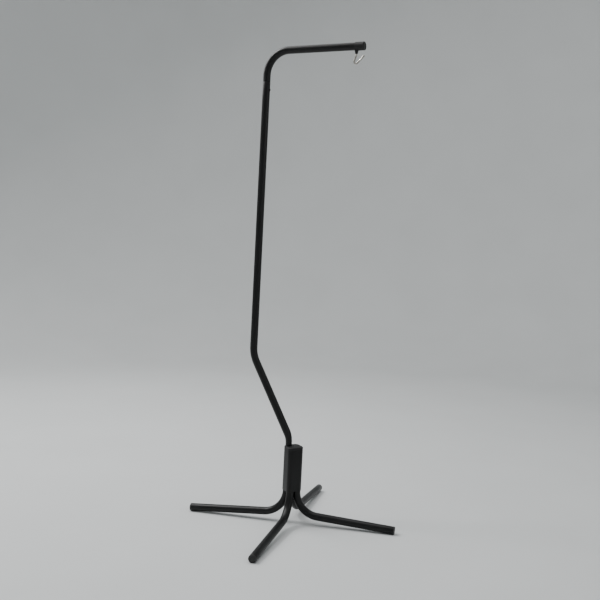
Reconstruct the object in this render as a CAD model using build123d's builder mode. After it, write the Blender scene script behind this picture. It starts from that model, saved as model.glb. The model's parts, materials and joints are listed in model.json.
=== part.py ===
from build123d import *
import os
from math import cos, radians, sin, sqrt, tan

# Free-standing hanging stand of round steel tube. Four bent leg tubes stand together in a collar,
# a cranked pole plugs into the left one, and an arm with a swivel hook plugs into the pole.
# Millimetres and degrees. The origin is on the floor, under the middle of the four legs.
# +Z is up and +X is the way that the arm points. The pole and the arm lie in one plane, y = socket_y.

# Tube and fits
tube_od = 22.0
tube_wall = 1.5
running_gap = 0.05          # radial gap of a swaged end in the tube that it plugs into
swage_length = 1.5          # length of the arm's cone from the full tube to its swaged end

# Legs
leg_spread = 622.0          # across two opposite feet
leg_slope = 3.5             # fall of a leg towards its foot
leg_bend_radius = 68.0      # on the centre line
leg_azimuth = 10.5          # of the right leg, from +X
leg_top = 217.0             # height of the four tube ends
bundle_gap = 0.1            # between neighbouring leg tubes
leg_names = ("leg_right", "leg_rear", "leg_left", "leg_front")
socket_leg = 2              # the leg that takes the pole, as a place in leg_names

# Foot plugs
plug_head = 3.0
plug_round = 1.2
plug_stem = 15.0
plug_wall = 2.0
plug_gap = 0.05             # radial gap of a plug's stem in its tube

# Collar and its cap
collar_rise = 3.0           # from the start of the legs' bends up to the collar
collar_wall = 1.2
collar_gap = 0.1            # between the collar and the leg tubes
collar_edge = 0.4           # rounding of the collar's ends
cap_thickness = 7.0
cap_round = 3.0
cap_boss = 12.0             # depth of the cap's bosses in the three plain leg tubes
cap_hole_gap = 0.3          # radial gap round the pole where it passes the cap

# Tie bolt down the middle of the bundle, with the wedge that spreads the legs
bolt_diameter = 6.0
bolt_head_diameter = 11.6
bolt_head_height = 2.9
bolt_hole_gap = 0.4         # radial gap in the cap, the wedge and the washer
bolt_nut_gap = 0.02         # radial gap of a nut's bore round its bolt
bolt_thread_out = 2.0       # bolt that stands out of its nut
hex_key = 4.0
hex_key_depth = 1.8
wedge_angle = 12.0          # half angle of the cone
wedge_height = 14.0
wedge_gap = 0.05            # between the cone and the legs' bends
washer_thickness = 1.0
tie_washer_diameter = 12.0
tie_nut_flats = 10.0
tie_nut_height = 5.0

# Pole: swaged lower end, low bend that widens to the full tube, crank and straight upper part
socket_clearance = 1.0      # from the end of the swaged end to the start of the leg's bend
crank_low_rise = 25.0       # from the top of the cap up to the corner of the low bend
crank_rise = 229.0          # from the corner of the low bend up to the corner of the high bend
crank_offset = 133.0        # from the socket's axis to the straight part's axis
crank_low_radius = 52.0
crank_high_radius = 80.0

# Arm
arm_height = 1384.0         # of the arm's centre line
arm_bend_radius = 70.0
arm_reach = 311.0           # from the straight part's axis to the end of the tube
arm_joint_drop = 91.0       # from the arm's centre line down to the top of the pole
arm_plug_length = 60.0      # swaged end of the arm inside the pole

# Snap button that locks the arm to the pole
button_diameter = 6.4
button_gap = 0.2            # radial gap in the two walls
button_drop = 24.0          # from the top of the pole down to the button
button_out = 2.4            # how far the button stands out of the pole
button_dome = 1.6
button_seat_gap = 0.02      # between the button and its spring
spring_width = 8.0
spring_thickness = 0.6
spring_height = 42.0
spring_foot_radius = 2.4
spring_over = 7.0           # spring above the button's axis
spring_wall_gap = 0.05

# Arm end cap
arm_cap_wall = 1.2
arm_cap_gap = 0.05
arm_cap_length = 28.0
arm_cap_end = 2.0
arm_cap_round = 1.8
arm_cap_slot_gap = 0.3      # round the hook's bush

# Swivel hook
hook_setback = 25.0         # from the end of the cap to the hook's axis
hook_diameter = 5.0
hook_gap = 0.05             # radial gap of the hook in its bush
bush_top_diameter = 11.6
bush_bottom_diameter = 7.0
bush_height = 11.0          # below the arm tube
bush_stem_diameter = 8.0
bush_stem_gap = 0.05
bush_tube_gap = 0.02
hook_washer_diameter = 10.0
hook_washer_lift = 0.03     # of the washer over the tube's inside
hook_nut_flats = 8.0
hook_nut_height = 4.5
hook_nut_gap = 0.1          # between the nut and its washer
hook_thread_out = 1.0
hook_tip_round = 2.2
hook_radii = (12.0, 5.0, 6.0)
# Corners of the bent wire: across from the hook's axis, and below the arm cap
hook_corners = ((0.0, 13.0), (-6.0, 29.0), (-5.0, 45.0), (25.0, 14.5))

# Worked out from the values above
tube_radius = tube_od / 2
bore_radius = tube_radius - tube_wall
swage_radius = bore_radius - running_gap
swage_bore = swage_radius - tube_wall
bundle_radius = (tube_od + bundle_gap) / sqrt(2)
socket_azimuth = radians(leg_azimuth + 90 * socket_leg)
socket_x = bundle_radius * cos(socket_azimuth)
socket_y = bundle_radius * sin(socket_azimuth)
straight_x = -crank_offset
slope = radians(leg_slope)
foot_axis = (
    (plug_head - plug_round) * sin(slope)
    + (tube_radius - plug_round) * cos(slope)
    + plug_round
)
foot_reach = leg_spread / 2 - plug_head * cos(slope)
leg_corner = foot_axis + (foot_reach - bundle_radius) * tan(slope)
leg_bend_start = leg_corner + leg_bend_radius * tan((radians(90) - slope) / 2)
cap_top = leg_top + cap_thickness
collar_bottom = leg_bend_start + collar_rise
crank_low_height = cap_top + crank_low_rise
crank_high_height = crank_low_height + crank_rise
pole_top = arm_height - arm_joint_drop
pole_plane = Plane(origin=(socket_x, socket_y, 0), x_dir=(1, 0, 0), z_dir=(0, -1, 0))
os.makedirs("parts", exist_ok=True)


def finish(piece, label):
    """Label a finished piece and write it."""
    piece.part.label = label
    export_step(piece.part, f"parts/{label}.step")


# Legs and foot plugs
for number, name in enumerate(leg_names):
    turn = radians(leg_azimuth + 90 * number)
    leg_plane = Plane(
        origin=(0, 0, 0), x_dir=(cos(turn), sin(turn), 0), z_dir=(sin(turn), -cos(turn), 0)
    )
    with BuildLine(leg_plane) as leg_line:
        FilletPolyline(
            (bundle_radius, leg_top),
            (bundle_radius, leg_corner),
            (foot_reach, foot_axis),
            radius=leg_bend_radius,
        )
    leg_path = leg_line.wire()
    with BuildPart() as leg:
        with BuildSketch(Plane(origin=leg_path @ 0, z_dir=leg_path % 0)):
            Circle(tube_radius)
            Circle(bore_radius, mode=Mode.SUBTRACT)
        sweep(path=leg_path)
    finish(leg, name)

    foot_plane = Plane(origin=leg_path @ 1, z_dir=leg_path % 1)
    with BuildPart() as foot_plug:
        with BuildSketch(foot_plane):
            Circle(tube_radius)
        extrude(amount=plug_head)
        fillet(foot_plug.edges().sort_by(Axis(foot_plane.origin, foot_plane.z_dir))[-1], plug_round)
        with BuildSketch(foot_plane):
            Circle(bore_radius - plug_gap)
            Circle(bore_radius - plug_gap - plug_wall, mode=Mode.SUBTRACT)
        extrude(amount=-plug_stem)
    finish(foot_plug, name.replace("leg", "foot_plug"))

# Collar pressed round the four tubes
collar_inside = tube_radius + collar_gap
with BuildPart() as collar:
    with BuildSketch(Plane.XY.offset(collar_bottom)):
        with PolarLocations(bundle_radius, len(leg_names), start_angle=leg_azimuth):
            Circle(collar_inside + collar_wall)
        make_hull()
    extrude(amount=leg_top - collar_bottom)
    fillet(collar.faces().sort_by(Axis.Z)[0].edges(), collar_edge)
    with BuildSketch(Plane.XY.offset(collar_bottom)):
        with PolarLocations(bundle_radius, len(leg_names), start_angle=leg_azimuth):
            Circle(collar_inside)
        make_hull()
    extrude(amount=leg_top - collar_bottom, mode=Mode.SUBTRACT)
finish(collar, "collar")

# Cap over the bundle, with a boss in each leg tube but the one that takes the pole
with BuildPart() as collar_cap:
    with BuildSketch(Plane.XY.offset(leg_top)):
        with PolarLocations(bundle_radius, len(leg_names), start_angle=leg_azimuth):
            Circle(collar_inside + collar_wall)
        make_hull()
    extrude(amount=cap_thickness)
    fillet(collar_cap.faces().sort_by(Axis.Z)[-1].edges(), cap_round)
    with BuildSketch(Plane.XY.offset(leg_top)):
        with PolarLocations(
            bundle_radius,
            len(leg_names) - 1,
            start_angle=leg_azimuth - 90 * (len(leg_names) - 1 - socket_leg),
            angular_range=90 * (len(leg_names) - 1),
        ):
            Circle(bore_radius - plug_gap)
            Circle(bore_radius - plug_gap - plug_wall, mode=Mode.SUBTRACT)
    extrude(amount=-cap_boss)
    with Locations((socket_x, socket_y, cap_top)):
        Hole(swage_radius + cap_hole_gap, depth=cap_thickness)
    with Locations((0, 0, cap_top)):
        CounterSinkHole(
            bolt_diameter / 2 + bolt_hole_gap,
            bolt_head_diameter / 2 + bolt_hole_gap,
            depth=cap_thickness,
            counter_sink_angle=90,
        )
finish(collar_cap, "collar_cap")

# Wedge: its cone touches each leg where the outside of the bend slopes at the cone's angle
bend_centre = bundle_radius + leg_bend_radius
bend_outside = leg_bend_radius + tube_radius
cone = radians(wedge_angle)
touch_radius = bend_centre - bend_outside * cos(cone) - wedge_gap / cos(cone)
touch_height = leg_bend_start - bend_outside * sin(cone)
wedge_top = touch_height + wedge_height / 2
wedge_bottom = touch_height - wedge_height / 2
wedge_step = wedge_height / 2 * tan(cone)
bolt_hole = bolt_diameter / 2 + bolt_hole_gap
with BuildPart() as leg_wedge:
    with BuildSketch(Plane.XZ):
        with BuildLine():
            Polyline(
                (bolt_hole, wedge_bottom),
                (touch_radius + wedge_step, wedge_bottom),
                (touch_radius - wedge_step, wedge_top),
                (bolt_hole, wedge_top),
                close=True,
            )
        make_face()
    revolve(axis=Axis.Z)
finish(leg_wedge, "leg_wedge")

with BuildPart() as tie_washer:
    with BuildSketch(Plane.XY.offset(wedge_bottom)):
        Circle(tie_washer_diameter / 2)
        Circle(bolt_hole, mode=Mode.SUBTRACT)
    extrude(amount=-washer_thickness)
finish(tie_washer, "tie_washer")

nut_top = wedge_bottom - washer_thickness
nut_bottom = nut_top - tie_nut_height
with BuildPart() as tie_nut:
    with BuildSketch(Plane.XY.offset(nut_top)):
        RegularPolygon(tie_nut_flats / 2, 6, major_radius=False)
        Circle(bolt_diameter / 2 + bolt_nut_gap, mode=Mode.SUBTRACT)
    extrude(amount=-tie_nut_height)
finish(tie_nut, "tie_nut")

head_top = cap_top - (bolt_head_height - (bolt_head_diameter - bolt_diameter) / 2)
head_bottom = head_top - bolt_head_height
with BuildPart() as tie_bolt:
    with BuildSketch(Plane.XZ):
        with BuildLine():
            Polyline(
                (0, nut_bottom - bolt_thread_out),
                (bolt_diameter / 2, nut_bottom - bolt_thread_out),
                (bolt_diameter / 2, head_bottom),
                (bolt_head_diameter / 2, head_top),
                (0, head_top),
                close=True,
            )
        make_face()
    revolve(axis=Axis.Z)
    with BuildSketch(Plane.XY.offset(head_top)):
        RegularPolygon(hex_key / 2, 6, major_radius=False)
    extrude(amount=-hex_key_depth, mode=Mode.SUBTRACT)
finish(tie_bolt, "tie_bolt")

# Pole: its low bend widens from the swaged end to the full tube
spigot_bottom = leg_bend_start + socket_clearance
button_height = pole_top - button_drop
button_hole = button_diameter / 2 + button_gap
side_plane = Plane(
    origin=(socket_x + straight_x, socket_y, button_height), x_dir=(0, 1, 0), z_dir=(1, 0, 0)
)
with BuildLine(pole_plane) as pole_line:
    FilletPolyline(
        (0, spigot_bottom),
        (0, crank_low_height),
        (straight_x, crank_high_height),
        (straight_x, pole_top),
        radius=(crank_low_radius, crank_high_radius),
    )
spigot_run, low_bend, *upper_runs = pole_line.wire().edges()
bend_start = Plane(origin=low_bend @ 0, z_dir=low_bend % 0)
bend_end = Plane(origin=low_bend @ 1, z_dir=low_bend % 1)
with BuildPart() as pole:
    with BuildSketch(bend_start):
        Circle(swage_radius)
    with BuildSketch(bend_end):
        Circle(tube_radius)
    sweep(path=low_bend, multisection=True)
    with BuildSketch(bend_start):
        Circle(swage_bore)
    with BuildSketch(bend_end):
        Circle(bore_radius)
    sweep(path=low_bend, multisection=True, mode=Mode.SUBTRACT)
    with BuildSketch(bend_start):
        Circle(swage_radius)
        Circle(swage_bore, mode=Mode.SUBTRACT)
    extrude(amount=-spigot_run.length)
    with BuildSketch(bend_end):
        Circle(tube_radius)
        Circle(bore_radius, mode=Mode.SUBTRACT)
    sweep(path=Wire(upper_runs))
    with BuildSketch(side_plane):
        Circle(button_hole)
    extrude(amount=tube_od, mode=Mode.SUBTRACT)
finish(pole, "pole")

# Arm
arm_shoulder = pole_top + swage_length
with BuildLine(pole_plane) as arm_line:
    FilletPolyline(
        (straight_x, arm_shoulder),
        (straight_x, arm_height),
        (straight_x + arm_reach, arm_height),
        radius=arm_bend_radius,
    )
arm_path = arm_line.wire()
arm_end = socket_x + straight_x + arm_reach
hook_x = arm_end + arm_cap_end - hook_setback
with BuildPart() as arm:
    with BuildSketch(Plane(origin=arm_path @ 0, z_dir=arm_path % 0)):
        Circle(tube_radius)
        Circle(bore_radius, mode=Mode.SUBTRACT)
    sweep(path=arm_path)
    with BuildSketch(pole_plane):
        with BuildLine():
            Polyline(
                (straight_x + bore_radius, arm_shoulder),
                (straight_x + tube_radius, arm_shoulder),
                (straight_x + swage_radius, pole_top),
                (straight_x + swage_radius, pole_top - arm_plug_length),
                (straight_x + swage_bore, pole_top - arm_plug_length),
                (straight_x + swage_bore, pole_top),
                close=True,
            )
        make_face()
    revolve(axis=Axis((socket_x + straight_x, socket_y, 0), (0, 0, 1)))
    with BuildSketch(side_plane):
        Circle(button_hole)
    extrude(amount=tube_od, mode=Mode.SUBTRACT)
    with BuildSketch(Plane(origin=(hook_x, socket_y, arm_height))):
        Circle(bush_stem_diameter / 2 + bush_stem_gap)
    extrude(amount=-tube_od, mode=Mode.SUBTRACT)
finish(arm, "arm")

# Snap button and the bent strip that pushes it out
strip_outside = sqrt(swage_bore**2 - (spring_width / 2) ** 2) - spring_wall_gap
button_inside = strip_outside + button_seat_gap
button_outside = tube_radius + button_out
with BuildPart() as snap_button:
    with BuildSketch(side_plane.offset(button_inside)):
        Circle(button_diameter / 2)
    extrude(amount=button_outside - button_inside)
    fillet(snap_button.edges().sort_by(Axis.X)[-1], button_dome)
finish(snap_button, "snap_button")

strip_middle = strip_outside - spring_thickness / 2
strip_top = button_height + spring_over
strip_foot = strip_top - spring_height
with BuildPart() as snap_spring:
    with BuildSketch(pole_plane):
        with BuildLine():
            FilletPolyline(
                (straight_x + strip_middle, strip_top),
                (straight_x + strip_middle, button_height - spring_over),
                (straight_x, strip_foot),
                (straight_x - strip_middle, button_height - spring_over),
                (straight_x - strip_middle, strip_top),
                radius=spring_foot_radius,
            )
            offset(amount=spring_thickness / 2, side=Side.BOTH)
        make_face()
    extrude(amount=spring_width / 2, both=True)
finish(snap_spring, "snap_spring")

# Arm end cap, with a slot that passes round the hook's bush
cap_outside = tube_radius + arm_cap_gap + arm_cap_wall
cap_plane = Plane(origin=(arm_end, socket_y, arm_height), x_dir=(0, 1, 0), z_dir=(1, 0, 0))
slot_width = bush_top_diameter + 2 * arm_cap_slot_gap
slot_end = hook_x + slot_width / 2
skirt_start = arm_end + arm_cap_end - arm_cap_length
with BuildPart() as arm_cap:
    with BuildSketch(cap_plane.offset(skirt_start - arm_end)):
        Circle(cap_outside)
    extrude(amount=arm_cap_length)
    fillet(arm_cap.edges().sort_by(Axis.X)[-1], arm_cap_round)
    with BuildSketch(cap_plane):
        Circle(tube_radius + arm_cap_gap)
    extrude(amount=skirt_start - arm_end, mode=Mode.SUBTRACT)
    with BuildSketch(Plane(origin=(hook_x, socket_y, arm_height))):
        with Locations(((skirt_start - hook_x) / 2, 0)):
            Rectangle(hook_x - skirt_start, slot_width)
        Circle(slot_width / 2)
    extrude(amount=-tube_od, mode=Mode.SUBTRACT)
finish(arm_cap, "arm_cap")

# Bush under the arm, saddled to the tube
hook_plane = Plane(origin=(hook_x, socket_y, 0), x_dir=(1, 0, 0), z_dir=(0, -1, 0))
tube_bottom = arm_height - tube_radius
stem_top = arm_height - sqrt(bore_radius**2 - (bush_stem_diameter / 2) ** 2)
bush_bore = hook_diameter / 2 + hook_gap
with BuildPart() as hook_bush:
    with BuildSketch(hook_plane):
        with BuildLine():
            Polyline(
                (bush_bore, tube_bottom - bush_height),
                (bush_bottom_diameter / 2, tube_bottom - bush_height),
                (bush_top_diameter / 2, tube_bottom),
                (bush_top_diameter / 2, stem_top),
                (bush_bore, stem_top),
                close=True,
            )
        make_face()
    revolve(axis=Axis((hook_x, socket_y, 0), (0, 0, 1)))
    with BuildSketch(cap_plane.offset(hook_x - arm_end - bush_top_diameter)):
        Circle(tube_radius + bush_tube_gap)
    extrude(amount=2 * bush_top_diameter, mode=Mode.SUBTRACT)
    with BuildSketch(Plane(origin=(hook_x, socket_y, tube_bottom - bush_tube_gap))):
        Circle(bush_stem_diameter / 2)
        Circle(bush_bore, mode=Mode.SUBTRACT)
    extrude(amount=stem_top - tube_bottom + bush_tube_gap)
finish(hook_bush, "hook_bush")

# Washer and nut inside the arm tube
hook_washer_bottom = (
    arm_height - sqrt(bore_radius**2 - (hook_washer_diameter / 2) ** 2) + hook_washer_lift
)
with BuildPart() as hook_washer:
    with BuildSketch(Plane(origin=(hook_x, socket_y, hook_washer_bottom))):
        Circle(hook_washer_diameter / 2)
        Circle(bush_bore, mode=Mode.SUBTRACT)
    extrude(amount=washer_thickness)
finish(hook_washer, "hook_washer")

hook_nut_bottom = hook_washer_bottom + washer_thickness + hook_nut_gap
with BuildPart() as hook_nut:
    with BuildSketch(Plane(origin=(hook_x, socket_y, hook_nut_bottom))):
        RegularPolygon(hook_nut_flats / 2, 6, major_radius=False)
        Circle(hook_diameter / 2 + bolt_nut_gap, mode=Mode.SUBTRACT)
    extrude(amount=hook_nut_height)
finish(hook_nut, "hook_nut")

# Hook, one bent wire with its end in the nut
hook_top = hook_nut_bottom + hook_nut_height + hook_thread_out
hook_datum = arm_height - cap_outside
with BuildLine(hook_plane) as hook_line:
    FilletPolyline(
        (0, hook_top),
        *[(across, hook_datum - drop) for across, drop in hook_corners],
        radius=hook_radii,
    )
hook_path = hook_line.wire()
with BuildPart() as hook:
    with BuildSketch(Plane(origin=hook_path @ 0, z_dir=hook_path % 0)):
        Circle(hook_diameter / 2)
    sweep(path=hook_path)
    fillet(hook.edges().sort_by(Axis.X)[-1], hook_tip_round)
finish(hook, "hook")
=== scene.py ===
"""Free-standing hanging stand of black tube: its looks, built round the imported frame.

Metres, on the frame's own axes: +Z is up and +X is the way that the arm points.
"""

import json
from math import atan2, cos, hypot, pi, radians, sin, sqrt, tan

import bmesh
import bpy
import numpy as np
from mathutils import Matrix, Vector

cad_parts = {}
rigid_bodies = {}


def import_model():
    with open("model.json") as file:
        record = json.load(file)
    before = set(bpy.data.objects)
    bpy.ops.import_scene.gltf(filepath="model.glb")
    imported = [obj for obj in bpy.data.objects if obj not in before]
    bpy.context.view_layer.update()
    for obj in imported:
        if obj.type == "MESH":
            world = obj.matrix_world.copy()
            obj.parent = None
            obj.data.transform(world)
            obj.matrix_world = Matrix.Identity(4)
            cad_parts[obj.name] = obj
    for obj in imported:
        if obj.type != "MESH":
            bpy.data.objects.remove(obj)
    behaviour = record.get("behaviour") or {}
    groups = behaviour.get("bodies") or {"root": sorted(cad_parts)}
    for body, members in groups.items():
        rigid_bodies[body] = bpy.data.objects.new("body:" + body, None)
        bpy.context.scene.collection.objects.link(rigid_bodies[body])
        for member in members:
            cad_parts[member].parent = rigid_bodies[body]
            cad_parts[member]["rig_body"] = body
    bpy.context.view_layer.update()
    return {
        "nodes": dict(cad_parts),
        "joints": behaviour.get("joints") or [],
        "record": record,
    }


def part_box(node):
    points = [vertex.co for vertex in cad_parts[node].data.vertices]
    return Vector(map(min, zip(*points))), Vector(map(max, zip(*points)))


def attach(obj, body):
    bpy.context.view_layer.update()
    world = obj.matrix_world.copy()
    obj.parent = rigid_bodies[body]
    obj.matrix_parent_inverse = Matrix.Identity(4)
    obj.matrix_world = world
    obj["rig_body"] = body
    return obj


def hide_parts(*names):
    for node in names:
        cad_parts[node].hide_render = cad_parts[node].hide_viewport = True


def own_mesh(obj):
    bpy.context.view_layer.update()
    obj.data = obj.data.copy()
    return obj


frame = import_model()
mm = 0.001
sharp_edge = radians(32)        # an edge that bends more than this is drawn sharp
thread_edge = radians(24)       # the same on screws and nuts
turned_points = 96              # points round a lathe-turned piece

# ---------------------------------------------------------------- sizes read from the frame
joint_place = {joint["name"]: Vector(joint.get("pos_m", (0, 0, 0))) for joint in frame["joints"]}
mount_place = {mount["name"]: mount for mount in frame["record"]["mounts"]}
socket = joint_place["pole_turn"]
hook_axis = joint_place["hook_swivel"]
pole_land = mount_place["pole_clamp_land"]
pole_x = pole_land["pos_m"][0]
tube_radius = pole_land["dims"]["r_mm"] * mm
bundle_radius = hypot(socket.x, socket.y)
leg_azimuth = atan2(-socket.y, -socket.x)
leg_names = ("leg_right", "leg_rear", "leg_left", "leg_front")
leg_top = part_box("collar")[1].z
cap_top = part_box("collar_cap")[1].z
pole_bottom, pole_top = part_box("pole")[0].z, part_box("pole")[1].z
arm_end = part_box("arm")[1].x
arm_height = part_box("arm")[1].z - tube_radius
arm_plug_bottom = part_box("arm")[0].z
button_low, button_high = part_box("snap_button")
button_height = (button_low.z + button_high.z) / 2

# ---------------------------------------------------------------- sizes of the tube and its bends
tube_wall = 1.5 * mm
bore_radius = tube_radius - tube_wall
swage_gap = 0.05 * mm           # between a swaged end and the bore that it sits in
swage_radius = bore_radius - swage_gap
tube_edge = 0.35 * mm           # rounding of a cut tube's rim
edge_middle = 0.3               # where the middle of a small rounding lies, as a share of its size
arm_swage = 1.5 * mm            # length of the arm's cone
bend_flat = 0.05                # how much of its width the outside of a press bend loses
bend_bulge = 0.35               # how much of that it gains across
bend_ease = 0.22                # share of the bend over which it flattens, at each end
wire_flat = 0.03                # the same loss on the bent wire
leg_slope = radians(3.5)
leg_bend_radius = 68 * mm
crank_low_rise = 25 * mm
crank_rise = 229 * mm
crank_radii = (52 * mm, 80 * mm)
arm_bend_radius = 70 * mm
button_hole = 3.4 * mm
bush_hole = 4.05 * mm

# ---------------------------------------------------------------- sizes of the small pieces
plug_head = 3 * mm
plug_round = 1.2 * mm
plug_stem = 15 * mm
plug_stem_wall = 2 * mm
plug_gap = 0.05 * mm
plug_lead = (0.5 * mm, 0.8 * mm)                    # the stem's chamfer: across and along
plug_lip = 0.15 * mm                                # chamfer of the flange where it meets the tube
plug_groove = (6.9 * mm, 0.9 * mm, 0.45 * mm)       # middle radius, width and depth
plug_gate = (1.5 * mm, 0.2 * mm, 0.3 * mm)          # radius, slope and depth of the moulding gate's dish
plug_nib = 0.3 * mm                                 # radius of the cut-off sprue in the dish
collar_wall = 1.2 * mm
collar_gap = 0.1 * mm
collar_edge = 0.4 * mm
corner_steps = 24                                   # flats in each rounded corner of the collar
collar_seam = (1.3 * mm, 0.18 * mm)                 # half width and height of the weld bead
bolt_radius = 3 * mm
bolt_pitch = 1 * mm
bolt_thread = 24 * mm
bolt_end = (0.8 * mm, 0.4 * mm)                     # chamfer of the screw's end: across and along
bolt_break = (0.2 * mm, 0.15 * mm)                  # broken edges of its head: across and along
thread_depth = 0.55                                 # of the pitch
thread_start = 0.15                                 # share of that depth at the ends of the thread
thread_steps = 6                                    # stations in each turn of the thread
bolt_head = (5.8 * mm, 2.9 * mm)                    # radius and depth of the countersunk head
hex_key = (4 * mm, 1.8 * mm)                        # across flats, and depth
tie_nut_size = (10 * mm, 5 * mm)                    # across flats, and height
hook_nut_size = (8 * mm, 4.5 * mm)
nut_face = 0.47                                     # radius of a nut's round face, as a share of its flats
nut_turned = radians(30)                            # slope at which its corners are turned off
nut_lead = 0.35 * mm                                # countersink of its bore
hook_radius = 2.5 * mm
hook_bends = (12 * mm, 5 * mm, 6 * mm)
hook_tip = 2.2 * mm
hook_end = (0.5 * mm, 0.1 * mm, 0.4 * mm)           # its upper end's chamfer: across at both ends, and along
# Corners of the hook's wire in millimetres: across from its axis, and below the arm cap's lower side
hook_corners = ((0, 13), (-6, 29), (-5, 45), (25, 14.5))

# ---------------------------------------------------------------- camera and room
view_distance = 2.2315          # from the stand's upright axis
view_height = 0.7956
view_bearing = radians(27.47)   # round from -Y towards +X
view_pan = radians(6.33)        # to the right of the axis
view_tilt = radians(0.56)       # below level
view_roll = radians(2.88)
view_lens = 45.58
view_shift = (-0.1452, -0.0624)
room_flat = 3.0                 # radius of the flat floor
room_cove = 1.6
room_height = 4.4
stand_middle = Vector((0, 0, 0.7))                  # where the lights aim
# Soft boxes: to the right, to the rear and up as the camera sees them; size; power
key_light = ((-2.1, 1.0, 3.0), 2.4, 80)
fill_light = ((2.6, -1.8, 1.9), 1.6, 9)
top_light = ((0.0, 0.0, 4.0), 2.6, 48)
hook_light = ((-2.028, 0.442, 1.56), 0.35, 28)      # placed from the hook, to shine along its outer limb
room_glow = ("#eceeef", 0.55)                       # colour and strength of the light from all round


# ================================================================ materials
def linear(colour):
    """Linear colour of an sRGB hex value."""
    parts = [int(colour[i : i + 2], 16) / 255 for i in (1, 3, 5)]
    return [p / 12.92 if p <= 0.04045 else ((p + 0.055) / 1.055) ** 2.4 for p in parts] + [1.0]


def add(tree, kind, inputs=None, **settings):
    """Adds a node, with its settings and its inputs: each is a value or the output that feeds it."""
    node = tree.nodes.new(kind)
    for name, value in settings.items():
        setattr(node, name, value)
    for key, value in (inputs or {}).items():
        if isinstance(value, bpy.types.NodeSocket):
            tree.links.new(value, node.inputs[key])
        else:
            node.inputs[key].default_value = value
    return node


def per(size):
    """Scale of a pattern whose grains are `size` metres across."""
    return 1 / size


def start_material(name, colour, roughness, metallic=0.0, ior=1.5, specular=0.5):
    """A material with its shader's own constants set, its tree, its shader and object coordinates."""
    material = bpy.data.materials.new(name)
    material.use_nodes = True
    tree = material.node_tree
    tree.nodes.clear()
    shader = add(
        tree,
        "ShaderNodeBsdfPrincipled",
        {
            "Base Color": linear(colour),
            "Roughness": roughness,
            "Metallic": metallic,
            "IOR": ior,
            "Specular IOR Level": specular,
        },
    )
    add(tree, "ShaderNodeOutputMaterial", {"Surface": shader.outputs[0]})
    place = add(tree, "ShaderNodeTexCoord").outputs["Object"]
    return material, tree, shader, place


def grains(tree, place, size, detail=2.0, rough=0.5):
    """Value of a noise with grains of that size."""
    inputs = {"Vector": place, "Scale": per(size), "Detail": detail, "Roughness": rough}
    return add(tree, "ShaderNodeTexNoise", inputs).outputs["Fac"]


def span(tree, value, low, high, to_low=0.0, to_high=1.0):
    """Value moved from the range low..high to the range to_low..to_high, and held there."""
    inputs = {"Value": value, "From Min": low, "From Max": high, "To Min": to_low, "To Max": to_high}
    return add(tree, "ShaderNodeMapRange", inputs, clamp=True).outputs[0]


def mixed(tree, amount, first, second):
    """Colour between two, by an amount. The two are hex values or outputs."""
    first, second = (linear(c) if isinstance(c, str) else c for c in (first, second))
    return add(tree, "ShaderNodeMix", {0: amount, 6: first, 7: second}, data_type="RGBA").outputs[2]


def maths(tree, operation, first, second):
    """One step of arithmetic on two values."""
    return add(tree, "ShaderNodeMath", {0: first, 1: second}, operation=operation).outputs[0]


def surface(tree, shader, colour=None, roughness=None, height=None, depth=0.0):
    """Feeds the shader's colour, roughness and bump of `depth` metres."""
    if colour is not None:
        tree.links.new(colour, shader.inputs["Base Color"])
    if roughness is not None:
        tree.links.new(roughness, shader.inputs["Roughness"])
    if height is not None:
        bump = add(tree, "ShaderNodeBump", {"Height": height, "Distance": depth, "Strength": 1.0})
        tree.links.new(bump.outputs[0], shader.inputs["Normal"])


def rubbed(tree, place, spots):
    """How much a sliding or turning part has rubbed the finish: 0 clear of the spots, up to 1 on them.

    Each spot is its middle and its reach. Fine grains break the rub up.
    """
    total = None
    scratch = span(tree, grains(tree, place, 1.6 * mm, 3.0), 0.50, 0.62)
    for middle, reach in spots:
        away = add(tree, "ShaderNodeVectorMath", {0: place, 1: middle}, operation="DISTANCE")
        near = span(tree, away.outputs["Value"], reach * 0.55, reach, 1.0, 0.0)
        total = near if total is None else maths(tree, "MAXIMUM", total, near)
    return maths(tree, "MULTIPLY", total, scratch)


def powder_coat(name, spots):
    """Epoxy powder, baked on steel tube: satin black over a shallow orange peel.

    The peel is about 2.5 mm from crest to crest and a few hundredths deep, so highlights waver along
    the tube. Where parts turn or slide on it, the film is burnished a little greyer and smoother.
    """
    material, tree, shader, place = start_material(name, "#040404", 0.38, ior=1.52, specular=0.28)
    peel = grains(tree, place, 2.5 * mm, 1.0)
    pinholes = grains(tree, place, 0.8 * mm, 2.0)
    relief = maths(tree, "ADD", peel, maths(tree, "MULTIPLY", pinholes, 0.35))
    cloud = grains(tree, place, 70 * mm, 3.0)
    dust = span(tree, grains(tree, place, 6 * mm, 4.0, 0.7), 0.62, 0.80)
    wear = rubbed(tree, place, spots)
    film = mixed(tree, span(tree, cloud, 0.35, 0.65), "#030303", "#060607")
    film = mixed(tree, maths(tree, "MULTIPLY", dust, 0.2), film, "#191817")
    film = mixed(tree, maths(tree, "MULTIPLY", wear, 0.6), film, "#29292a")
    satin = span(tree, cloud, 0.3, 0.7, 0.35, 0.45)
    satin = maths(tree, "SUBTRACT", satin, maths(tree, "MULTIPLY", wear, 0.10))
    satin = maths(tree, "ADD", satin, maths(tree, "MULTIPLY", dust, 0.12))
    surface(tree, shader, film, satin, relief, 0.09 * mm)
    return material


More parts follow.
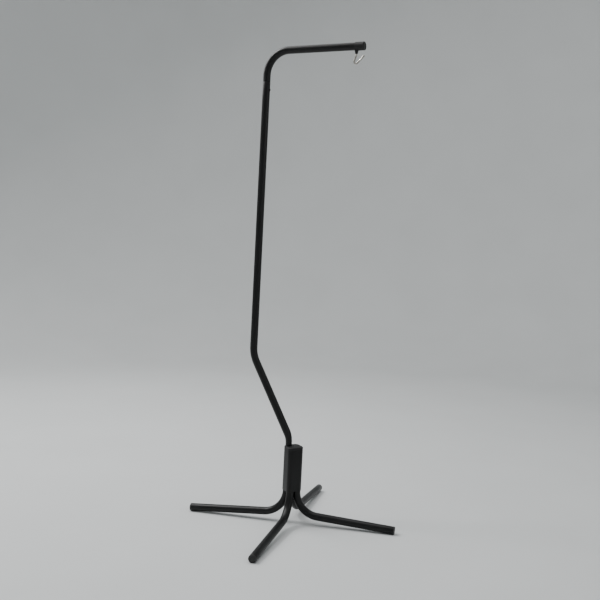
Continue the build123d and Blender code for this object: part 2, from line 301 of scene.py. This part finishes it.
def moulded_nylon(name, dark, pale):
    """Black nylon, injection moulded in a spark-eroded mould: a dead matt, fine even grain.

    The real grain is near 0.3 mm; it is drawn at 0.9 mm, the finest that shows. The colour clouds
    between two greys, and faces that stand on the floor are scuffed.
    """
    material, tree, shader, place = start_material(name, dark, 0.55, ior=1.53, specular=0.35)
    grain = grains(tree, place, 0.9 * mm, 2.0, 0.6)
    cloud = grains(tree, place, 18 * mm, 2.0)
    height = add(tree, "ShaderNodeSeparateXYZ", {0: place}).outputs["Z"]
    low = span(tree, height, 0.6 * mm, 3.5 * mm, 1.0, 0.0)
    scuff = maths(tree, "MULTIPLY", low, span(tree, grains(tree, place, 1.2 * mm, 4.0), 0.45, 0.6))
    colour = mixed(tree, span(tree, cloud, 0.3, 0.7), dark, pale)
    colour = mixed(tree, maths(tree, "MULTIPLY", scuff, 0.7), colour, "#4a4947")
    matt = span(tree, grain, 0.3, 0.7, 0.50, 0.64)
    surface(tree, shader, colour, matt, grain, 0.05 * mm)
    return material


def zinc_plate(name):
    """Steel pressings and nuts, zinc plated and passivated: bright grey with a cold blue cast.

    The plating leaves faint crystal patches a few millimetres across.
    """
    material, tree, shader, place = start_material(name, "#c4c8cd", 0.30, metallic=1.0)
    patches = grains(tree, place, 3 * mm, 3.0)
    fine = grains(tree, place, 0.5 * mm, 2.0)
    colour = mixed(tree, span(tree, patches, 0.35, 0.65), "#c9cbcc", "#aeb6c0")
    surface(tree, shader, colour, span(tree, patches, 0.3, 0.7, 0.24, 0.38), fine, 0.01 * mm)
    return material


def black_oxide(name):
    """Alloy steel, blackened in hot oxide and oiled: dark brown-grey metal, mottled and finely rough."""
    material, tree, shader, place = start_material(name, "#232325", 0.42, metallic=1.0)
    patches = grains(tree, place, 4 * mm, 3.0)
    fine = grains(tree, place, 0.5 * mm, 1.0)
    colour = mixed(tree, span(tree, patches, 0.35, 0.65), "#1c1c1e", "#2e2a27")
    surface(tree, shader, colour, span(tree, patches, 0.3, 0.7, 0.36, 0.5), fine, 0.012 * mm)
    return material


def nickel_wire(name):
    """Steel wire, drawn through a die, bent and then nickel plated: bright, faintly warm, with die lines.

    The die lines run along the wire, about 0.3 mm apart and many millimetres long.
    """
    material, tree, shader, place = start_material(name, "#a9a69f", 0.16, metallic=1.0)
    straight = add(tree, "ShaderNodeAttribute", attribute_name="straightened").outputs["Vector"]
    stretched = add(tree, "ShaderNodeMapping", {"Vector": straight, "Scale": (0.02, 1.0, 1.0)})
    lines = grains(tree, stretched.outputs[0], 0.3 * mm, 2.0)
    cloud = grains(tree, place, 6 * mm, 3.0)
    colour = mixed(tree, span(tree, cloud, 0.35, 0.7), "#b2afa8", "#918d86")
    gloss = span(tree, lines, 0.3, 0.7, 0.12, 0.20)
    surface(tree, shader, colour, gloss, lines, 0.006 * mm)
    return material


def blued_strip(name):
    """Spring steel strip, hardened and tempered blue: dark blue metal with patches of brown straw."""
    material, tree, shader, place = start_material(name, "#39455c", 0.32, metallic=1.0)
    patches = grains(tree, place, 5 * mm, 2.0)
    colour = mixed(tree, span(tree, patches, 0.35, 0.65), "#2f3c58", "#5b5148")
    fine = grains(tree, place, 0.4 * mm, 1.0)
    surface(tree, shader, colour, span(tree, patches, 0.3, 0.7, 0.26, 0.38), fine, 0.008 * mm)
    return material


def studio_paper(name):
    """Pale grey backdrop paper: matt, with a barely visible mottle."""
    material, tree, shader, place = start_material(name, "#cfd1d1", 0.9, specular=0.2)
    mottle = grains(tree, place, 400 * mm, 2.0)
    surface(tree, shader, mixed(tree, span(tree, mottle, 0.3, 0.7), "#cdcfcf", "#d0d2d2"))
    return material


# ================================================================ shapes
def new_piece(name, points, faces, sharp=sharp_edge):
    """A mesh piece, shaded smooth with its edges sharp above an angle."""
    mesh = bpy.data.meshes.new(name)
    mesh.from_pydata([tuple(p) for p in points], [], faces)
    piece = bpy.data.objects.new(name, mesh)
    bpy.context.scene.collection.objects.link(piece)
    tidy = bmesh.new()
    tidy.from_mesh(mesh)
    bmesh.ops.remove_doubles(tidy, verts=tidy.verts, dist=1e-7)
    bmesh.ops.recalc_face_normals(tidy, faces=tidy.faces)
    tidy.to_mesh(mesh)
    tidy.free()
    shade(piece, sharp)
    return piece


def shade(piece, sharp=sharp_edge):
    """Smooth shading, with the edges above an angle sharp."""
    piece.data.shade_smooth()
    piece.data.set_sharp_from_angle(angle=sharp)


def joined_loops(name, loops, ring=False, closed=True, sharp=sharp_edge):
    """A piece whose skin joins each loop of points to the next.

    With `ring` the last loop joins the first. Without it the two end loops are closed by a face each, or
    by their own point where they have no size, unless `closed` is false.
    """
    count = len(loops[0])
    points = np.concatenate(loops)
    faces = []
    pairs = [(i, i + 1) for i in range(len(loops) - 1)] + ([(len(loops) - 1, 0)] if ring else [])
    for a, b in pairs:
        for k in range(count):
            n = (k + 1) % count
            faces.append((a * count + k, a * count + n, b * count + n, b * count + k))
    if closed and not ring:
        faces.append(tuple(range(count))[::-1])
        faces.append(tuple((len(loops) - 1) * count + k for k in range(count)))
    return new_piece(name, points, faces, sharp)


def smooth_step(x):
    """0 below 0, 1 above 1, and a smooth rise between."""
    x = min(max(x, 0.0), 1.0)
    return x * x * (3 - 2 * x)


class BentLine:
    """Centre line of a bent tube or wire: straight runs and the arcs that join them, in one plane."""

    def __init__(self, corners, radii):
        corners = [Vector(c) for c in corners]
        runs = [(b - a).normalized() for a, b in zip(corners, corners[1:])]
        self.normal = runs[0].cross(runs[1]).normalized()
        self.pieces = []    # start point, start direction, length, and radius with its side (0: straight)
        at = corners[0]
        for corner, before, after, radius in zip(corners[1:], runs, runs[1:], radii):
            turn = before.angle(after)
            side = 1 if before.cross(after).dot(self.normal) > 0 else -1
            reach = radius * tan(turn / 2)
            self.pieces.append((at, before, (corner - before * reach - at).length, 0))
            self.pieces.append((corner - before * reach, before, radius * turn, side * radius))
            at = corner + after * reach
        self.pieces.append((at, runs[-1], (corners[-1] - at).length, 0))
        self.length = sum(piece[2] for piece in self.pieces)

    def at(self, travelled):
        """Point, direction and signed bend (0 on a run, 1 or -1 well inside an arc) at a distance."""
        for piece in self.pieces:
            start, heading, length, radius = piece
            if travelled <= length + 1e-9 or piece is self.pieces[-1]:
                break
            travelled -= length
        if not radius:
            return start + heading * travelled, heading, 0.0
        inward = self.normal.cross(heading)
        turned = travelled / radius
        point = start + heading * radius * sin(turned) + inward * radius * (1 - cos(turned))
        share = travelled / length
        bend = smooth_step(min(share, 1 - share) / bend_ease)
        return point, heading * cos(turned) + inward * sin(turned), bend if radius > 0 else -bend

    def stops(self, extra=(), turn_step=radians(3), run_step=0.05):
        """Distances at which the line is cut into sections."""
        stops, travelled = list(extra), 0.0
        for _, _, length, radius in self.pieces:
            step = abs(radius) * turn_step if radius else run_step
            count = max(1, int(length / step + 0.999))
            stops += [travelled + length * k / count for k in range(count + 1)]
            travelled += length
        stops = sorted(s for s in stops if -1e-9 <= s <= self.length + 1e-9)
        return [s for s, before in zip(stops, [-1.0] + stops) if s - before > 1e-6]

    def section(self, travelled, radius, flat, count):
        """Loop round the line: a circle, flattened on the outside of a bend and a little wider across it."""
        centre, heading, bend = self.at(travelled)
        inward = self.normal.cross(heading)
        loop = []
        for k in range(count):
            c, s = cos(2 * pi * k / count), sin(2 * pi * k / count)
            outside = 0.5 - 0.5 * c * (1 if bend >= 0 else -1)
            narrow = 1 - flat * abs(bend) * outside
            wide = 1 + bend_bulge * flat * abs(bend) * abs(s)
            loop.append(centre + inward * (radius * c * narrow) + self.normal * (radius * s * wide))
        return loop


def bent_tube(name, line, outer_at=lambda s: tube_radius, extra=(), count=48):
    """A tube of real wall along a bent line, with the rims of its cut ends rounded."""
    e = tube_edge
    middle = edge_middle * e
    rim = ((0.0, e), (middle, middle), (e, 0.0))        # off the surface, and back from the end
    stops = line.stops([e, line.length - e, *extra])
    inside = [s for s in stops if e - 1e-9 <= s <= line.length - e + 1e-9]
    outer = [(s, outer_at(s)) for s in inside]
    bore = [(s, outer_at(s) - tube_wall) for s in reversed(inside)]
    far, near = outer_at(line.length), outer_at(0.0)
    far_rim = [(line.length - back, far - off) for off, back in rim[1:]]
    far_rim += [(line.length - back, far - tube_wall + off) for off, back in reversed(rim[1:])]
    near_rim = [(back, near - tube_wall + off) for off, back in rim[1:]]
    near_rim += [(back, near - off) for off, back in reversed(rim[1:])]
    loops = [line.section(s, r, bend_flat, count) for s, r in outer + far_rim + bore + near_rim]
    return joined_loops(name, loops, ring=True)


def angles_round(count):
    """Angles of points evenly spaced round a circle."""
    return np.arange(count) * 2 * pi / count


def hexagon(flats, angles):
    """Radius of a hexagon at each angle."""
    return flats / 2 / np.cos((angles + pi / 6) % (pi / 3) - pi / 6)


def turned(name, place, stations, ring=False, closed=True, count=turned_points, sharp=sharp_edge):
    """A lathe-turned piece about the local Z of `place`.

    Each station is a radius and a height, and either may be an array with a value for each angle round
    the axis.
    """
    angles = angles_round(count)
    loops = []
    for radius, height in stations:
        radius, height = radius * np.ones(count), height * np.ones(count)
        local = np.stack([radius * np.cos(angles), radius * np.sin(angles), height], axis=1)
        loops.append([place @ Vector(p) for p in local])
    return joined_loops(name, loops, ring, closed, sharp)


def place_at(origin, heading=Vector((0, 0, 1))):
    """Placing matrix at a point with its local Z along a heading."""
    turn = Vector(heading).to_track_quat("Z", "Y").to_matrix().to_4x4()
    return Matrix.Translation(Vector(origin)) @ turn


def rounded(radius, height, size, steps=6):
    """Stations of a convex quarter round that ends at a flat face, from its side to its face."""
    turns = [pi / 2 * k / steps for k in range(steps + 1)]
    return [(radius - size + size * cos(t), height - size + size * sin(t)) for t in turns]


def drill(piece, start, heading, radius, depth, count=40):
    """Cuts a round hole, from `start` along `heading`."""
    cutter = turned("cutter", place_at(start, heading), [(radius, 0.0), (radius, depth)], count=count)
    cut = piece.modifiers.new("hole", "BOOLEAN")
    cut.operation, cut.solver, cut.object = "DIFFERENCE", "EXACT", cutter
    bpy.context.view_layer.update()
    mesh = bpy.data.meshes.new_from_object(piece.evaluated_get(bpy.context.evaluated_depsgraph_get()))
    piece.modifiers.clear()
    old, piece.data = piece.data, mesh
    mesh.name = piece.name
    bpy.data.meshes.remove(old)
    bpy.data.objects.remove(cutter)
    shade(piece)


def put(piece, node, material):
    """Gives a piece its finish, and lets it stand for the frame's node on that node's body."""
    piece.data.materials.clear()
    piece.data.materials.append(material)
    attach(piece, frame["nodes"][node]["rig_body"])
    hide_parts(node)


# ================================================================ pieces
def reach_along(node, heading):
    """How far a node reaches along a heading."""
    return max(v.co.dot(heading) for v in frame["nodes"][node].data.vertices)


def make_leg(number):
    """One leg tube, and the moulded plug in its foot."""
    node = leg_names[number]
    azimuth = leg_azimuth + number * pi / 2
    out = Vector((cos(azimuth), sin(azimuth), 0))
    end_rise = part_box(node)[0].z + tube_radius * cos(leg_slope)
    end_reach = reach_along(node, out) - tube_radius * sin(leg_slope)
    corner_rise = end_rise + (end_reach - bundle_radius) * tan(leg_slope)
    corners = [
        out * bundle_radius + Vector((0, 0, leg_top)),
        out * bundle_radius + Vector((0, 0, corner_rise)),
        out * end_reach + Vector((0, 0, end_rise)),
    ]
    line = BentLine(corners, [leg_bend_radius])
    leg = bent_tube(node + "_tube", line)
    foot, heading, _ = line.at(line.length)
    return leg, make_foot_plug(node.replace("leg", "foot_plug"), place_at(foot, heading))


def make_foot_plug(node, place):
    """A tube plug: hollow stem, flat flange with a soft rim, a ring groove and the gate's dish."""
    stem = bore_radius - plug_gap
    groove, width, depth = plug_groove
    gate, slope, dish = plug_gate
    lead, lead_length = plug_lead
    stations = [(0.0, 0.0), (stem - plug_stem_wall, 0.0), (stem - plug_stem_wall, -plug_stem)]
    stations += [(stem - lead, -plug_stem), (stem, -plug_stem + lead_length), (stem, 0.0)]
    stations += [(tube_radius - plug_lip, 0.0), (tube_radius, plug_lip)]
    stations += rounded(tube_radius, plug_head, plug_round)
    stations += [(groove + width / 2, plug_head), (groove + width / 4, plug_head - depth)]
    stations += [(groove - width / 4, plug_head - depth), (groove - width / 2, plug_head)]
    stations += [(gate + slope, plug_head), (gate, plug_head - dish), (plug_nib, plug_head - dish)]
    stations += [(0.0, plug_head - dish / 2)]
    return turned(node + "_moulding", place, stations, count=72)


def bundle_loop(skin, height, bead=0.0):
    """Loop round the four tubes at a height: an arc at each tube, and a flat between two of them.

    `bead` is the height of the weld that runs up the flat between the rear and the left leg.
    """
    welded_flat = leg_names.index("leg_rear")
    loop = []
    for k in range(4):
        azimuth = leg_azimuth + k * pi / 2
        centre = Vector((cos(azimuth), sin(azimuth), 0)) * bundle_radius
        for step in range(corner_steps + 1):
            turn = azimuth - pi / 4 + pi / 2 * step / corner_steps
            loop.append(centre + Vector((cos(turn), sin(turn), 0)) * skin)
        face = azimuth + pi / 4
        across = Vector((-sin(face), cos(face), 0))
        out = Vector((cos(face), sin(face), 0))
        middle = out * (bundle_radius * cos(pi / 4) + skin)
        half = collar_seam[0]
        for offset in (-2 * half, -half, -half / 2, 0, half / 2, half, 2 * half):
            lift = bead * sqrt(max(0.0, 1 - (offset / half) ** 2)) if k == welded_flat else 0.0
            loop.append(middle + across * offset + out * lift)
    return [point + Vector((0, 0, height)) for point in loop]


def make_collar():
    """Formed sheet collar round the bundle, with its rolled edges and its weld at the back."""
    low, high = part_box("collar")[0].z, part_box("collar")[1].z
    inner, outer = tube_radius + collar_gap, tube_radius + collar_gap + collar_wall
    e, bead = collar_edge, collar_seam[1]
    middle = edge_middle * e
    # Skin, height and weld: the weld stands on the outer face alone
    profile = [(inner + e, low, 0), (outer - e, low, 0), (outer - middle, low + middle, 0)]
    profile += [(outer, low + e, bead), (outer, high - e, bead), (outer - middle, high - middle, 0)]
    profile += [(outer - e, high, 0), (inner + e, high, 0), (inner, high - e, 0), (inner, low + e, 0)]
    loops = [bundle_loop(skin, height, weld) for skin, height, weld in profile]
    return joined_loops("collar_sleeve", loops, ring=True)


def widening(start, length):
    """Radius along a swaged tube: the swaged size up to a start, then evenly up to the full tube."""

    def outer_at(travelled):
        share = min(max((travelled - start) / length, 0.0), 1.0)
        return swage_radius + (tube_radius - swage_radius) * share

    return outer_at


def make_pole():
    """Pole: swaged end, low bend that widens to the full tube, crank, and the long straight."""
    low_corner = cap_top + crank_low_rise
    corners = [
        (socket.x, socket.y, pole_bottom),
        (socket.x, socket.y, low_corner),
        (pole_x, socket.y, low_corner + crank_rise),
        (pole_x, socket.y, pole_top),
    ]
    line = BentLine(corners, crank_radii)
    bend_start, bend_length = line.pieces[0][2], line.pieces[1][2]
    pole = bent_tube("pole_tube", line, widening(bend_start, bend_length))
    drill(pole, (pole_x, socket.y, button_height), (1, 0, 0), button_hole, 2 * tube_radius)
    return pole


def make_arm():
    """Arm: swaged plug in the pole, cone, upper bend and level run, drilled for the button and the bush."""
    corners = [
        (pole_x, socket.y, arm_plug_bottom),
        (pole_x, socket.y, arm_height),
        (arm_end, socket.y, arm_height),
    ]
    line = BentLine(corners, [arm_bend_radius])
    plug = pole_top - arm_plug_bottom
    arm = bent_tube("arm_tube", line, widening(plug, arm_swage), extra=(plug, plug + arm_swage))
    drill(arm, (pole_x, socket.y, button_height), (1, 0, 0), button_hole, 2 * tube_radius)
    drill(arm, (hook_axis.x, socket.y, arm_height), (0, 0, -1), bush_hole, 2 * tube_radius)
    return arm


def thread(radius, pitch, low, high):
    """Stations of a screw thread: a helical V that runs out at both of its ends."""
    angles = angles_round(turned_points)
    steps = int(round((high - low) / pitch * thread_steps))
    stations = []
    for k in range(steps + 1):
        height = low + (high - low) * k / steps
        wave = abs((height / pitch - angles / (2 * pi)) % 1.0 - 0.5) * 2
        run_out = min(1.0, min(height - low, high - height) / pitch + thread_start)
        stations.append((radius - thread_depth * pitch * run_out * (1 - wave), height))
    return stations


def make_tie_bolt():
    """Countersunk screw with a hexagon socket, threaded at its lower end."""
    low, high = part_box("tie_bolt")[0].z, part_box("tie_bolt")[1].z
    head, depth = bolt_head
    flats, socket_depth = hex_key
    end, end_length = bolt_end
    across, along = bolt_break
    key = hexagon(flats, angles_round(turned_points))
    stations = [(0.0, low), (bolt_radius - end, low)]
    stations += thread(bolt_radius, bolt_pitch, low + end_length, low + bolt_thread)
    stations += [(bolt_radius, low + bolt_thread + bolt_pitch / 2), (bolt_radius, high - depth)]
    stations += [(head, high - along), (head - across, high), (key + along, high)]
    stations += [(key, high - along), (key, high - socket_depth), (0.0, high - socket_depth)]
    return turned("tie_bolt_screw", place_at((0, 0, 0)), stations, sharp=thread_edge)


def make_nut(name, node, centre, size, bore):
    """Hexagon nut with its corners turned off on both faces and its bore countersunk."""
    flats, height = size
    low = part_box(node)[0].z
    corners = hexagon(flats, angles_round(turned_points))
    face = nut_face * flats
    fall = (corners - face) * tan(nut_turned)
    sunk = bore + nut_lead
    stations = [(bore, low + nut_lead), (sunk, low), (face, low), (corners, low + fall)]
    stations += [(corners, low + height - fall), (face, low + height)]
    stations += [(sunk, low + height), (bore, low + height - nut_lead)]
    place = place_at((centre.x, centre.y, 0))
    return turned(name, place, stations, ring=True, sharp=thread_edge)


def straighten(piece, stations, count):
    """Stores where each point would be if the wire were pulled straight along X, for its die lines."""
    straight = []
    for travelled, radius in stations:
        for k in range(count):
            turn = 2 * pi * k / count
            straight.append((travelled, radius * cos(turn), radius * sin(turn)))
    stored = piece.data.attributes.new("straightened", "FLOAT_VECTOR", "POINT")
    stored.data.foreach_set("vector", np.array(straight[: len(piece.data.vertices)]).ravel())


def make_hook():
    """Bent wire hook: a chamfered upper end inside the arm, and a domed tip."""
    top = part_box("hook")[1].z
    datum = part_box("arm_cap")[0].z
    corners = [(hook_axis.x, hook_axis.y, top)]
    corners += [(hook_axis.x + a * mm, hook_axis.y, datum - d * mm) for a, d in hook_corners]
    line = BentLine(corners, hook_bends)
    count = 32
    tip = line.length
    end, end_rest, end_length = hook_end
    stops = [s for s in line.stops(turn_step=radians(5), run_step=4 * mm) if s < tip - hook_tip]
    shank = [(0.0, hook_radius - end), (end_length, hook_radius - end_rest)]
    shank += [(s, hook_radius) for s in stops if s > end]
    dome = rounded(hook_radius, tip, hook_tip, 8)
    stations = shank + [(height, radius) for radius, height in dome]
    loops = [line.section(s, r, wire_flat, count) for s, r in stations]
    hook = joined_loops("hook_wire", loops)
    straighten(hook, stations, count)
    return hook


def make_snap_spring():
    """The frame's own hairpin strip, as a piece of its own."""
    shape = frame["nodes"]["snap_spring"].data
    points = [v.co for v in shape.vertices]
    return new_piece("snap_spring_strip", points, [tuple(f.vertices) for f in shape.polygons])


# ================================================================ the stand
# Where parts slide or turn on the coat: middle and reach of each spot
joint_spots = [
    ((socket.x, socket.y, cap_top), 16 * mm),
    ((pole_x, socket.y, pole_top), 14 * mm),
    ((pole_x + tube_radius, socket.y, button_height), 9 * mm),
]
tube_finish = powder_coat("black_powder_coat", joint_spots)
plastic_finish = moulded_nylon("black_moulded_nylon", "#08080a", "#0e0e0f")
# Foot plugs: the same black nylon in lighter greys, a painted highlight for the light that their end faces
# catch. The scuff near the floor is wear.
foot_nylon_painted_lit = moulded_nylon("black_nylon_painted_lit_and_scuffed", "#1e1e1f", "#2c2c2c")
plated_finish = zinc_plate("bright_zinc_plate")
oxide_finish = black_oxide("black_oxide_steel")
wire_finish = nickel_wire("nickel_plated_wire")
strip_finish = blued_strip("blued_spring_strip")

for number, leg_node in enumerate(leg_names):
    leg_piece, plug_piece = make_leg(number)
    put(leg_piece, leg_node, tube_finish)
    put(plug_piece, leg_node.replace("leg", "foot_plug"), foot_nylon_painted_lit)
put(make_collar(), "collar", tube_finish)
put(make_pole(), "pole", tube_finish)
put(make_arm(), "arm", tube_finish)
put(make_tie_bolt(), "tie_bolt", oxide_finish)
tie_nut = make_nut("tie_nut_hexagon", "tie_nut", Vector((0, 0, 0)), tie_nut_size, bolt_radius)
put(tie_nut, "tie_nut", plated_finish)
hook_nut = make_nut("hook_nut_hexagon", "hook_nut", hook_axis, hook_nut_size, hook_radius)
put(hook_nut, "hook_nut", plated_finish)
put(make_hook(), "hook", wire_finish)

# The hairpin strip behind the button, with a mesh of its own
snap_spring = make_snap_spring()
put(snap_spring, "snap_spring", strip_finish)
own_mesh(snap_spring)

# Frame nodes that keep their own shape
kept_finishes = {
    "collar_cap": plastic_finish,
    "arm_cap": plastic_finish,
    "hook_bush": plastic_finish,
    "leg_wedge": plated_finish,
    "tie_washer": plated_finish,
    "hook_washer": plated_finish,
    "snap_button": oxide_finish,
}
for node, finish in kept_finishes.items():
    frame["nodes"][node].data.materials.clear()
    frame["nodes"][node].data.materials.append(finish)


# ================================================================ room, light and camera
def make_room():
    """Pale seamless room: a flat floor that curves up into a round wall."""
    steps = 16
    stations = [(0.0, 0.0), (room_flat / 2, 0.0), (room_flat, 0.0)]
    for k in range(1, steps + 1):
        turn = pi / 2 * k / steps
        stations.append((room_flat + room_cove * sin(turn), room_cove * (1 - cos(turn))))
    stations += [(room_flat + room_cove, room_height)]
    room = turned("studio_room", place_at((0, 0, 0)), stations, closed=False, count=128)
    room.data.materials.append(studio_paper("pale_backdrop_paper"))


def soft_light(name, box, origin=Vector((0, 0, 0))):
    """A square soft box, placed from an origin and aimed at the stand. The camera doesn't see it."""
    (right, rear, up), size, power = box
    to_right = Vector((cos(view_bearing), sin(view_bearing), 0))
    to_rear = Vector((-sin(view_bearing), cos(view_bearing), 0))
    light = bpy.data.lights.new(name, "AREA")
    light.shape, light.size, light.energy = "SQUARE", size, power
    lamp = bpy.data.objects.new(name, light)
    lamp.location = origin + right * to_right + rear * to_rear + Vector((0, 0, up))
    lamp.rotation_euler = (stand_middle - lamp.location).to_track_quat("-Z", "Y").to_euler()
    lamp.visible_camera = False
    bpy.context.scene.collection.objects.link(lamp)


def make_camera():
    """Camera in front of the stand and to its right, a little above half its height."""
    heading = view_bearing - view_pan
    camera = bpy.data.cameras.new("view")
    camera.lens, camera.sensor_width = view_lens, 36
    camera.shift_x, camera.shift_y = view_shift
    stand_view = bpy.data.objects.new("view", camera)
    place = Matrix.Translation(
        (view_distance * sin(view_bearing), -view_distance * cos(view_bearing), view_height)
    )
    turn = Matrix.Rotation(heading, 4, "Z") @ Matrix.Rotation(pi / 2 - view_tilt, 4, "X")
    stand_view.matrix_world = place @ turn @ Matrix.Rotation(view_roll, 4, "Z")
    bpy.context.scene.collection.objects.link(stand_view)
    bpy.context.scene.camera = stand_view


make_room()
soft_light("key", key_light)
soft_light("fill", fill_light)
soft_light("hook_highlight", hook_light, hook_axis)
soft_light("top", top_light)
world = bpy.data.worlds.new("room_light")
world.use_nodes = True
background = world.node_tree.nodes["Background"]
background.inputs["Color"].default_value = linear(room_glow[0])
background.inputs["Strength"].default_value = room_glow[1]
bpy.context.scene.world = world
make_camera()
